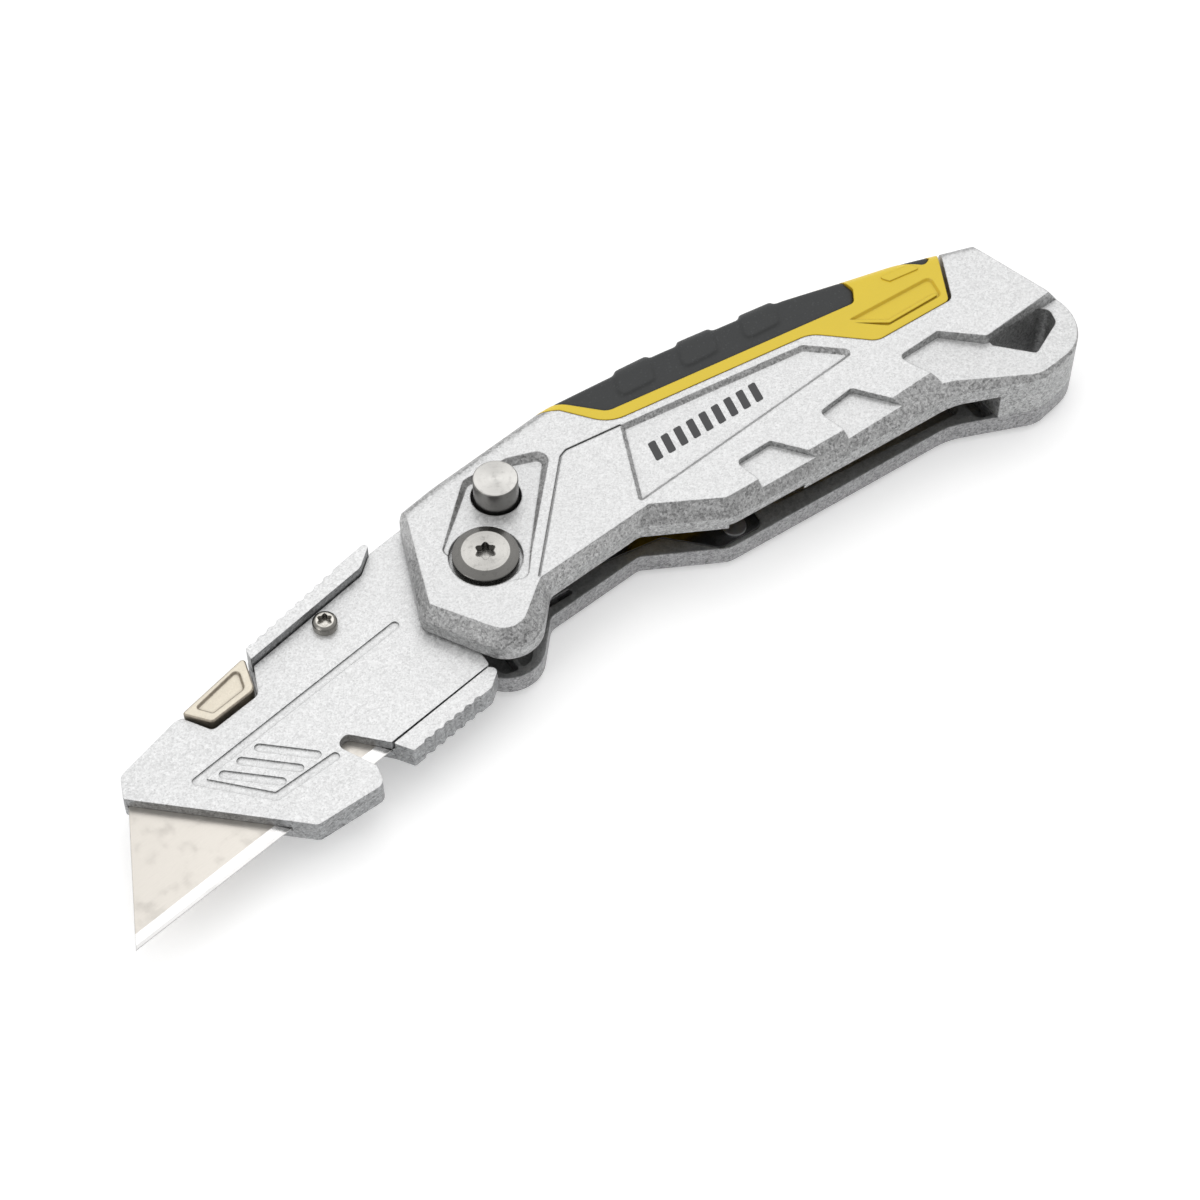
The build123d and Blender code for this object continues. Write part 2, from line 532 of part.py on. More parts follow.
def magazine_body(form, grip_tool):
    body = form & magazine_region()
    web = [(21.2, 15.4, 0), (58.0, 15.4, 2.0), (76.0, 11.9, 2.0), (93.0, 8.6, 0), (93.0, 30.0, 0), (21.2, 30.0, 0)]
    middle = plate(AROUND, BACK_INSIDE - 0.05, TRAY_LOW)
    body -= middle - plate(web, 0, 20)
    arm = [(18.4, 14.9, 0), (25.0, 15.4, 0), (25.0, 19.0, 0), (18.4, 18.8, 0)]
    lug = disc(HINGE_AT, 2.1, 5.0, 9.5) + plate(arm, 5.0, 9.5)
    tray = [(*on_store(-1.1, -0.4), 0.5), (SPARE_AT[0] + 61.0, SPARE_AT[1] - 0.4, 0.5), (80.5, 4.0, 0),
            (80.5, 13.0, 0), (33.0, 13.0, 0), (*on_store(-1.1, 15.0), 0)]
    body += plate(tray, TRAY_LOW, SPARE_LOW - 0.02)
    lip = [(*on_store(-1.1, -0.4), 0.2), (*on_store(-0.2, -0.4), 0), (*on_store(-0.2, 13.8), 0),
           (*on_store(-1.1, 13.8), 0)]
    body += plate(lip, TRAY_LOW, STORE_TOP - 0.15)
    body -= plate(spare_outline(0.15), SPARE_LOW - 0.02, STORE_TOP - 0.05)
    body += lug
    body -= grip_tool
    body -= disc(HINGE_AT, HINGE_R + FIT, 0, 20)
    ridge = bar((75.2, 4.3), (84.3, 4.8), 0.3, 14.0, HANDLE_THICK) + bar((70.4, 7.4), (75.2, 4.3), 0.3, 14.0,
                                                                         HANDLE_THICK)
    groove = recess([(69.4, 7.9, 0.5), (74.6, 3.6, 1.0), (85.2, 4.1, 1.0), (86.0, 8.3, 1.0)], HANDLE_THICK - 0.4,
                    slope=0.8)
    return body - (groove - ridge)


def blade_clip():
    """A flat spring on the tray's lower edge that keeps the spare blades in."""
    x, y = SPARE_AT
    foot = plate([(x + 26, y - 0.95, 0), (x + 36, y - 0.95, 0), (x + 36, y - 0.45, 0), (x + 26, y - 0.45, 0)],
                 TRAY_LOW, STORE_TOP - 0.2)
    return foot


def magazine_pin():
    return disc(HINGE_AT, HINGE_R, 0.45, 12.9)


# ---- assembly ----
def make_parts():
    form = handle_form(spine_form())
    thin_form = form & plate(AROUND, 0.35, HANDLE_THICK - 0.35)
    raised_form = spine_form(lift=0.65)
    core = spine_form(lift=-1.0, skin=1.3) & plate(AROUND, 1.3, HANDLE_THICK - 1.3)
    grip = magazine_grip(raised_form, thin_form, core)
    grip_tool = (plate(GRIP, -1, 20) + plate(REAR_GRIP, -1, 20)) - core
    return {
        "front_shell": front_shell(form),
        "back_shell": back_shell(form),
        "liner_plate": liner_plate(),
        "liner_rivet": liner_rivet(),
        "shell_screws": shell_screws(),
        "pivot_screw": pivot_screw(),
        "pivot_nut": pivot_nut(),
        "pivot_washers": pivot_washers(),
        "lock_button": lock_button(),
        "lock_pin": lock_pin(),
        "lock_bushing": lock_bushing(),
        "lock_spring": lock_spring(),
        "holder_back_plate": holder_back_plate(),
        "holder_front_plate": holder_front_plate(),
        "holder_screw": holder_screw(),
        "blade": blade(),
        "release_button": release_button(),
        "release_spring": release_spring(),
        "magazine_body": magazine_body(form, grip_tool),
        "magazine_grip": grip,
        "magazine_pin": magazine_pin(),
        "spare_blades": spare_blades(),
        "blade_clip": blade_clip(),
    }


def write_parts():
    os.makedirs("parts", exist_ok=True)
    parts = make_parts()
    boxes = [shape.bounding_box() for shape in parts.values()]
    middle_x = (min(box.min.X for box in boxes) + max(box.max.X for box in boxes)) / 2
    middle_y = (min(box.min.Y for box in boxes) + max(box.max.Y for box in boxes)) / 2
    lowest = min(box.min.Z for box in boxes)
    print("pivot axis in the part's frame:", -middle_x, -middle_y, "raised by", -lowest)
    for name, shape in parts.items():
        export_step(shape.moved(Location((-middle_x, -middle_y, -lowest))), f"parts/{name}.step")


write_parts()
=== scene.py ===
import math

import bpy
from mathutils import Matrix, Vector


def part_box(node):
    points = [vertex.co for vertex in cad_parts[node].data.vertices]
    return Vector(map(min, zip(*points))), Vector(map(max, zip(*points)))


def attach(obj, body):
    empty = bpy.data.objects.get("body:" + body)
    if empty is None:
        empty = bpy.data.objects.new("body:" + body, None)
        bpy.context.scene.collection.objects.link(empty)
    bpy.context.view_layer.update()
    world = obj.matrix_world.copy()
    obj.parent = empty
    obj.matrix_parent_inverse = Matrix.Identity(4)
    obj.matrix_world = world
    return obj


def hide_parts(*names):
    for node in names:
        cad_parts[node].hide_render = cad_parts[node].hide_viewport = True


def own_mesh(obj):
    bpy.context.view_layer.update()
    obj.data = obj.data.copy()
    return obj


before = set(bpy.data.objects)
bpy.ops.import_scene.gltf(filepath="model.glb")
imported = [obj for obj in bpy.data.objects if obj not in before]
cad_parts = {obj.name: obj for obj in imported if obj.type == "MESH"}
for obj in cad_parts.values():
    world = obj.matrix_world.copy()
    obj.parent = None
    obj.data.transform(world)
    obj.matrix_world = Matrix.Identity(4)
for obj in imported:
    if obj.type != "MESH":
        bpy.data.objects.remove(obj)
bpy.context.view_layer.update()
MM = 0.001


# ---- places taken from the frame ----
def middle_of(node):
    """The centre of a CAD node's box."""
    low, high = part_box(node)
    return (low + high) / 2


PIVOT = middle_of("pivot_screw")
PIVOT_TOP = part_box("pivot_screw")[1].z
LOCK = middle_of("lock_button")
LOCK_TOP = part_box("lock_button")[1].z
HOLDER_SCREW = middle_of("holder_screw")
HOLDER_SCREW_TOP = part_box("holder_screw")[1].z
BLADE_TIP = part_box("blade")[0]
BLADE_TURN = math.radians(11.0)


def near_pivot(x, y, z):
    """A place given in millimetres from the pivot's axis, with its height above the bench."""
    return Vector((PIVOT.x + x * MM, PIVOT.y + y * MM, z * MM))


# ---- shader arithmetic ----
class Value:
    """A shader socket that can be used in arithmetic. Every operator adds its Math node."""

    def __init__(self, finish, socket):
        self.finish = finish
        self.socket = socket

    def math(self, operation, first, second):
        return self.finish.node("ShaderNodeMath", {"operation": operation}, {0: first, 1: second})

    def __add__(self, other):
        return self.math("ADD", self, other)

    def __radd__(self, other):
        return self.math("ADD", other, self)

    def __sub__(self, other):
        return self.math("SUBTRACT", self, other)

    def __rsub__(self, other):
        return self.math("SUBTRACT", other, self)

    def __mul__(self, other):
        return self.math("MULTIPLY", self, other)

    def __rmul__(self, other):
        return self.math("MULTIPLY", other, self)

    def __pow__(self, other):
        return self.math("POWER", self, other)


class Finish:
    """A procedural material around one Principled shader."""

    def __init__(self, name, **constants):
        self.material = bpy.data.materials.new(name)
        self.material.use_nodes = True
        self.nodes = self.material.node_tree.nodes
        self.links = self.material.node_tree.links
        self.shader = self.nodes["Principled BSDF"]
        for socket, value in constants.items():
            self.shader.inputs[socket.replace("_", " ")].default_value = value

    def node(self, kind, settings=None, inputs=None, output=0):
        """Adds a node: its settings first, then values or links for its sockets."""
        node = self.nodes.new(kind)
        for name, value in (settings or {}).items():
            setattr(node, name, value)
        for key, value in (inputs or {}).items():
            socket = node.inputs[key]
            if isinstance(value, Value):
                self.links.new(value.socket, socket)
            else:
                socket.default_value = value
        return Value(self, node.outputs[output])

    def feed(self, socket, value):
        """Links a value to the shader."""
        self.links.new(value.socket, self.shader.inputs[socket])
        return self

    def place(self, centre=(0, 0, 0), turn=0.0, stretch=(1, 1, 1)):
        """Object coordinates counted from a centre, turned about Z and stretched."""
        here = self.node("ShaderNodeTexCoord", output="Object")
        return self.node("ShaderNodeMapping", {"vector_type": "TEXTURE"},
                         {"Vector": here, "Location": centre, "Rotation": (0, 0, turn), "Scale": stretch})

    def parts_of(self, vector):
        """The three numbers of a vector."""
        return [self.node("ShaderNodeSeparateXYZ", {}, {0: vector}, output=k) for k in range(3)]

    def upward(self):
        """How far the surface faces up: 1 on a flat top, 0 on an upright wall."""
        normal = self.node("ShaderNodeTexCoord", output="Normal")
        return self.parts_of(normal)[2]

    def crease_shade(self, reach):
        """Painted shade: 1 in the open and lower in inner corners of the piece itself, within the reach in
        metres.
        """
        settings = {"only_local": True, "samples": 6}
        return self.node("ShaderNodeAmbientOcclusion", settings, {"Distance": reach}, output="AO")

    def noise(self, place, grain, detail=2.0, roughness=0.5):
        """Soft noise whose spots are about one grain wide, in metres."""
        return self.node("ShaderNodeTexNoise", {}, {"Vector": place, "Scale": 1 / grain, "Detail": detail,
                                                   "Roughness": roughness})

    def flakes(self, place, grain):
        """Cells about one grain wide, each with its own number from 0 to 1."""
        colour = self.node("ShaderNodeTexVoronoi", {}, {"Vector": place, "Scale": 1 / grain}, output="Color")
        return self.parts_of(colour)[0]

    def fade(self, value, low, high):
        """0 below low, 1 above high and smooth between."""
        return self.node("ShaderNodeMapRange", {"interpolation_type": "SMOOTHSTEP"},
                         {"Value": value, "From Min": low, "From Max": high})

    def blend(self, factor, first, second):
        """A colour between two colours or shader values."""
        node = self.nodes.new("ShaderNodeMix")
        node.data_type = "RGBA"
        for socket, value in zip([node.inputs[0], node.inputs[6], node.inputs[7]], [factor, first, second]):
            if isinstance(value, Value):
                self.links.new(value.socket, socket)
            else:
                socket.default_value = value
        return Value(self, node.outputs[2])

    def tinted(self, colour, strength):
        """One colour made lighter or darker by a value."""
        grey = self.node("ShaderNodeCombineXYZ", {}, {0: strength, 1: strength, 2: strength})
        return self.node("ShaderNodeVectorMath", {"operation": "MULTIPLY"}, {0: grey, 1: colour[:3]})

    def bump(self, height, strength, depth, round_edge=0.15 * MM):
        """Small relief of the given depth, in metres, over edges that catch light as if rounded."""
        soft = self.node("ShaderNodeBevel", {"samples": 6}, {"Radius": round_edge})
        relief = self.node("ShaderNodeBump", {}, {"Height": height, "Strength": strength, "Distance": depth,
                                                 "Normal": soft})
        return self.feed("Normal", relief)


# ---- finishes ----
def metallic_paint(name, flat, slope, wall, grain=0.36, edge=0.32 * MM):
    """Satin metallic paint: fine flakes on flat faces, coarser sparkle on slopes and walls, painted shade on
    slopes, walls and inner corners.
    """
    finish = Finish(name, Metallic=0.72, Specular_IOR_Level=0.5)
    place = finish.place()
    fine = finish.flakes(place, 0.2 * MM)
    coarse = finish.flakes(place, 0.36 * MM)
    cloud = finish.noise(place, 9 * MM)
    facing = finish.upward()
    on_top = finish.fade(facing, 0.9, 0.99)
    on_slope = finish.fade(facing, 0.15, 0.4)
    glitter = (fine - 0.5) * 0.9 + (coarse - 0.5)
    # painted shade: the colour is darkened in inner corners, and slopes and walls take darker colours than
    # the flat top
    crease = finish.crease_shade(0.6 * MM)
    shade = (1 + glitter * grain * (1.7 - on_top) + (cloud - 0.5) * 0.1) * (0.38 + crease * 0.62)
    side = finish.blend(on_slope, wall, slope)
    body = finish.blend(on_top, side, flat)
    strength = finish.node("ShaderNodeCombineXYZ", {}, {0: shade, 1: shade, 2: shade})
    colour = finish.node("ShaderNodeVectorMath", {"operation": "MULTIPLY"}, {0: body, 1: strength})
    finish.feed("Base Color", colour)
    finish.feed("Roughness", 0.36 + coarse * 0.16 + (cloud - 0.5) * 0.08)
    finish.bump(fine * 0.4 + coarse * 0.6 + finish.noise(place, 0.5 * MM) * 0.6, 0.5, 0.03 * MM,
                round_edge=edge)
    return finish.material


def ground_steel(name, colour, centre, turn, length, roughness):
    """Steel with fine straight grain along one direction."""
    finish = Finish(name, Metallic=1.0)
    along = finish.place(centre, turn, (length, 1, 1))
    grain = finish.noise(along, 0.09 * MM, detail=4.0, roughness=0.65)
    streak = finish.noise(along, 0.6 * MM, detail=2.0)
    patch = finish.noise(finish.place(), 5 * MM, detail=3.0)
    finish.feed("Base Color", finish.tinted(colour, 0.9 + grain * 0.16 + (streak - 0.5) * 0.16))
    finish.feed("Roughness", roughness + (grain - 0.5) * 0.18 + (patch - 0.5) * 0.12)
    finish.bump(grain + streak * 0.5, 0.22, 0.004 * MM)
    return finish.material


def turned_steel(name, colour, centre, roughness, groove=0.06, side=0.55, socket=0.0):
    """Steel faced on a lathe: fine rings about an upright axis, a few darker handling marks, painted shade
    on its side and in a driver socket of the given radius, and a painted sheen in two wedges on its top."""
    finish = Finish(name, Metallic=1.0)
    flat_place = finish.place(centre, 0.0, (1, 1, 1e6))
    radius = finish.node("ShaderNodeVectorMath", {"operation": "LENGTH"}, {0: flat_place}, output="Value")
    line = finish.node("ShaderNodeCombineXYZ", {}, {0: radius})
    rings = finish.noise(line, groove * MM, detail=3.0, roughness=0.7)
    broad = finish.noise(line, 0.5 * MM)
    stain = finish.noise(finish.place(), 0.7 * MM, detail=5.0, roughness=0.65)
    mark = finish.fade(stain, 0.5, 0.72)
    x, y, _ = finish.parts_of(flat_place)
    # painted sheen: the top is made lighter and darker in two opposite wedges, as a turned face reflects
    # light
    angle = finish.node("ShaderNodeMath", {"operation": "ARCTAN2"}, {0: y, 1: x})
    painted_sheen = finish.node("ShaderNodeMath", {"operation": "COSINE"}, {0: angle * 2 + 0.9})
    shade = 0.86 + rings * 0.16 + (broad - 0.5) * 0.2 + painted_sheen * 0.1 * finish.fade(finish.upward(), 0.8, 0.95)
    # painted shade: the sides are darker than the top, and the driver socket is darkened in its inner
    # corners
    top = finish.fade(finish.upward(), 0.93, 0.99)
    socket_shade = 1 - finish.fade(radius, socket * 0.98, socket * 1.05 + 1e-6)
    crease = finish.crease_shade(0.5 * MM)
    lit = (side + top * (1 - side)) * (1 - socket_shade * (1 - crease) * 0.9)
    finish.feed("Base Color", finish.tinted(colour, (shade - mark * 0.12) * lit))
    finish.feed("Roughness", roughness + (rings - 0.5) * 0.14 + mark * 0.1)
    finish.bump(rings, 0.35, 0.006 * MM)
    return finish.material


def blade_steel(name):
    """Rolled blade steel with a warm tint, faint blotches and a bright ground strip along the edge."""
    finish = Finish(name, Metallic=1.0)
    edge = finish.place(BLADE_TIP, BLADE_TURN)
    _, across, _ = finish.parts_of(edge)
    along = finish.place(BLADE_TIP, BLADE_TURN, (26, 1, 1))
    over = finish.place(BLADE_TIP, BLADE_TURN, (1, 26, 1))
    grain = finish.noise(along, 0.1 * MM, detail=4.0, roughness=0.6)
    ground = finish.noise(over, 0.07 * MM, detail=3.0, roughness=0.6)
    blotch = finish.noise(finish.place(), 3.2 * MM, detail=5.0, roughness=0.6)
    stain = finish.fade(blotch, 0.5, 0.75)
    strip = 1 - finish.fade(across, 1.85 * MM, 1.95 * MM)
    hone = 1 - finish.fade(across, 0.5 * MM, 0.6 * MM)
    flat_shade = 0.92 + (grain - 0.5) * 0.22 - stain * 0.07
    flat_colour = finish.tinted((0.66, 0.625, 0.575), flat_shade)
    strip_colour = finish.tinted((0.86, 0.85, 0.84), 0.96 + (ground - 0.5) * 0.12 - hone * 0.22)
    finish.feed("Base Color", finish.blend(strip, flat_colour, strip_colour))
    finish.feed("Roughness", 0.3 + stain * 0.12 + (grain - 0.5) * 0.1 - strip * 0.06 - hone * 0.06)
    finish.bump(grain * (1 - strip) + ground * strip, 0.22, 0.004 * MM)
    return finish.material


def plain_steel(name, colour, roughness):
    """Rolled or drawn steel with a mottled skin."""
    finish = Finish(name, Metallic=1.0)
    place = finish.place()
    skin = finish.noise(place, 0.8 * MM, detail=5.0, roughness=0.6)
    cloud = finish.noise(place, 4 * MM)
    finish.feed("Base Color", finish.tinted(colour, 0.8 + skin * 0.3 + (cloud - 0.5) * 0.2))
    finish.feed("Roughness", roughness + (skin - 0.5) * 0.2)
    finish.bump(skin, 0.2, 0.01 * MM)
    return finish.material


def moulded_plastic(name, colour, shaded_wall_colour, roughness):
    """Satin plastic with a fine moulded texture, a slightly deeper colour on its walls and darker inner
    corners, both painted shade.
    """
    finish = Finish(name, Specular_IOR_Level=0.45)
    place = finish.place()
    texture = finish.noise(place, 0.28 * MM, detail=3.0)
    cloud = finish.noise(place, 7 * MM)
    # painted shade: walls take the deeper colour and inner corners are darkened
    top = finish.fade(finish.upward(), 0.3, 0.95)
    colour_here = finish.blend(top, shaded_wall_colour, colour)
    crease = finish.crease_shade(0.6 * MM)
    shade = (0.97 + (texture - 0.5) * 0.06 + (cloud - 0.5) * 0.07) * (0.6 + crease * 0.4)
    strength = finish.node("ShaderNodeCombineXYZ", {}, {0: shade, 1: shade, 2: shade})
    finish.feed("Base Color", finish.node("ShaderNodeVectorMath", {"operation": "MULTIPLY"},
                                          {0: colour_here, 1: strength}))
    finish.feed("Roughness", roughness + (texture - 0.5) * 0.14 + (cloud - 0.5) * 0.08)
    finish.bump(texture, 0.25, 0.015 * MM, round_edge=0.3 * MM)
    return finish.material


def soft_rubber(name):
    """Dark grey moulded rubber: a fine pebble, a dusty bloom and duller spots."""
    finish = Finish(name, Specular_IOR_Level=0.4)
    place = finish.place()
    pebble = finish.node("ShaderNodeTexVoronoi", {"feature": "SMOOTH_F1"},
                         {"Vector": place, "Scale": 1 / (0.3 * MM)}, output="Distance")
    bloom = finish.noise(place, 3.5 * MM, detail=4.0, roughness=0.6)
    specks = finish.fade(finish.flakes(place, 0.25 * MM), 0.93, 0.98)
    shade = 0.9 + (bloom - 0.5) * 0.3 + specks * 0.35
    finish.feed("Base Color", finish.tinted((0.034, 0.036, 0.037), shade))
    finish.feed("Roughness", 0.5 + (bloom - 0.5) * 0.16 + pebble * 0.1)
    finish.bump(pebble, 0.3, 0.03 * MM)
    return finish.material


# Each paint's second and third colours, for slopes and walls, are darker than its first as painted shade.
PAINT = metallic_paint("silver handle paint", (0.68, 0.682, 0.682, 1), (0.41, 0.41, 0.41, 1),
                       (0.38, 0.383, 0.383, 1))
# The back shell's flat colour is grey paint darkened below its walls as painted shade for the gap between
# the shells.
BACK_PAINT_AND_SHADE = metallic_paint("grey back paint", (0.26, 0.262, 0.262, 1), (0.36, 0.36, 0.365, 1),
                            (0.32, 0.32, 0.325, 1))
HOLDER_PAINT = metallic_paint("silver holder paint", (0.72, 0.722, 0.722, 1), (0.34, 0.34, 0.345, 1),
                              (0.32, 0.325, 0.33, 1), grain=0.38, edge=0.14 * MM)
GOLD_PAINT = metallic_paint("champagne button paint", (0.74, 0.68, 0.57, 1), (0.42, 0.37, 0.30, 1),
                            (0.22, 0.19, 0.15, 1), grain=0.12)
# side=0.5 makes each turned piece's sides darker than its top as painted shade; the socket radius sets where
# the hole is darkened as painted shade.
PIVOT_STEEL = turned_steel("faced pivot steel", (0.43, 0.42, 0.40), PIVOT, 0.26, side=0.5, socket=1.6 * MM)
LOCK_STEEL = turned_steel("faced lock button steel", (0.52, 0.51, 0.49), LOCK, 0.3, groove=0.09, side=0.5)
NICKEL = turned_steel("nickel plated screw", (0.56, 0.54, 0.5), HOLDER_SCREW, 0.2, side=0.5,
                      socket=1.15 * MM)
BLADE_STEEL = blade_steel("blade steel")
SPARE_STEEL = ground_steel("spare blade steel", (0.62, 0.61, 0.59), BLADE_TIP, 0.0, 30, 0.3)
# The liner steel's dark colour is partly its own and partly painted shade for the gap between the shells.
LINER_STEEL_AND_SHADE = ground_steel("liner spring steel", (0.17, 0.17, 0.172), PIVOT, 0.2, 18, 0.2)
PIN_STEEL = plain_steel("plain pin steel", (0.50, 0.50, 0.51), 0.32)
DARK_STEEL = plain_steel("blackened steel", (0.10, 0.10, 0.105), 0.42)
SPRING_WIRE = plain_steel("spring wire", (0.45, 0.45, 0.47), 0.28)
BRONZE = plain_steel("bronze washer", (0.55, 0.36, 0.17), 0.34)
# The yellow plastic's second colour is the painted shade on the magazine's walls.
YELLOW = moulded_plastic("yellow magazine plastic", (0.79, 0.585, 0.03, 1), (0.66, 0.42, 0.02, 1), 0.4)
RUBBER = soft_rubber("dark grey rubber")
INK = plain_steel("dark engraving fill", (0.09, 0.09, 0.092), 0.5)


# ---- pieces made from the CAD shapes ----
def keep(obj, body, slot, *nodes):
    """Hands a finished piece over to the frame."""
    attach(obj, body)
    if nodes:
        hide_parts(*nodes)
    return obj


def mesh_object(name, mesh, material):
    """An object at the origin for a finished mesh."""
    obj = bpy.data.objects.new(name, mesh)
    bpy.context.scene.collection.objects.link(obj)
    mesh.materials.clear()
    mesh.materials.append(material)
    return obj


def smooth(mesh, crease=180):
    """Smooth shading, except across edges sharper than the crease angle."""
    mesh.polygons.foreach_set("use_smooth", [True] * len(mesh.polygons))
    if crease < 180:
        mesh.set_sharp_from_angle(angle=math.radians(crease))


def baked(obj, name, material):
    """The object's mesh with its modifiers worked in, as a new plain object."""
    depsgraph = bpy.context.evaluated_depsgraph_get()
    mesh = bpy.data.meshes.new_from_object(obj.evaluated_get(depsgraph))
    mesh.name = name
    bpy.data.objects.remove(obj)
    return mesh_object(name, mesh, material)


def dress(material, *nodes):
    """Gives CAD nodes that keep their own shape their finish."""
    for node in nodes:
        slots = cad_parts[node].data.materials
        slots.clear()
        slots.append(material)


dress(PAINT, "front_shell")
dress(BACK_PAINT_AND_SHADE, "back_shell")
dress(HOLDER_PAINT, "holder_back_plate", "holder_front_plate")
dress(YELLOW, "magazine_body")
dress(BLADE_STEEL, "blade")
dress(SPARE_STEEL, "spare_blades")
dress(LINER_STEEL_AND_SHADE, "liner_plate", "blade_clip")
dress(PIN_STEEL, "lock_pin", "magazine_pin", "liner_rivet")
dress(DARK_STEEL, "lock_bushing")
dress(BRONZE, "pivot_washers")


def rounded(node, name, material, body, slot, voxel, steps):
    """A copy of a CAD node with all its edges moulded round."""
    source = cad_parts[node]
    obj = mesh_object(name, source.data.copy(), material)
    remesh = obj.modifiers.new("remesh", "REMESH")
    remesh.mode = "VOXEL"
    remesh.voxel_size = voxel
    relax = obj.modifiers.new("relax", "SMOOTH")
    relax.factor = 0.5
    relax.iterations = steps
    piece = baked(obj, name, material)
    smooth(piece.data)
    return keep(piece, body, slot, node)


rounded("magazine_grip", "magazine_rubber", RUBBER, "magazine", "black_rubber", 0.25 * MM, 14)
rounded("release_button", "release_cap", GOLD_PAINT, "release", "gold_paint", 0.09 * MM, 8)


# ---- pieces made by geometry nodes ----
class Tree:
    """A geometry node tree with named inputs."""

    def __init__(self, name, inputs):
        self.tree = bpy.data.node_groups.new(name, "GeometryNodeTree")
        self.tree.is_modifier = True
        self.tree.interface.new_socket("Geometry", in_out="INPUT", socket_type="NodeSocketGeometry")
        for label, kind in inputs.items():
            self.tree.interface.new_socket(label, in_out="INPUT", socket_type="NodeSocket" + kind)
        self.tree.interface.new_socket("Geometry", in_out="OUTPUT", socket_type="NodeSocketGeometry")
        self.given = self.tree.nodes.new("NodeGroupInput").outputs

    def node(self, kind, settings=None, inputs=None, output=0):
        """Adds a node: its settings first, then values or links for its sockets."""
        node = self.tree.nodes.new(kind)
        for name, value in (settings or {}).items():
            setattr(node, name, value)
        for key, value in (inputs or {}).items():
            self.put(node.inputs[key], value)
        return node.outputs[output]

    def put(self, socket, value):
        if isinstance(value, bpy.types.NodeSocket):
            self.tree.links.new(value, socket)
        else:
            socket.default_value = value

    def sum(self, first, second, operation="ADD"):
        return self.node("ShaderNodeMath", {"operation": operation}, {0: first, 1: second})

    def point(self, x=0.0, y=0.0, z=0.0):
        return self.node("ShaderNodeCombineXYZ", {}, {0: x, 1: y, 2: z})

    def end(self, geometry):
        """Realizes what was instanced, sets the finish and closes the tree."""
        real = self.node("GeometryNodeRealizeInstances", {}, {0: geometry})
        painted = self.node("GeometryNodeSetMaterial", {},
                            {"Geometry": real, "Material": self.given["Finish"]})
        result = self.tree.nodes.new("NodeGroupOutput")
        self.tree.links.new(painted, result.inputs[0])
        return self.tree


def grown(tree, name, points, values, material):
    """Runs a tree on a set of points and gives its result as a plain object."""
    mesh = bpy.data.meshes.new(name)
    mesh.from_pydata([tuple(p) for p in points], [], [])
    obj = bpy.data.objects.new(name, mesh)
    bpy.context.scene.collection.objects.link(obj)
    modifier = obj.modifiers.new("grown", "NODES")
    modifier.node_group = tree
    labels = {s.name: s.identifier for s in tree.interface.items_tree if s.in_out == "INPUT"}
    for label, value in {**values, "Finish": material}.items():
        modifier[labels[label]] = value
    result = baked(obj, name, material)
    smooth(result.data, crease=32)
    return result


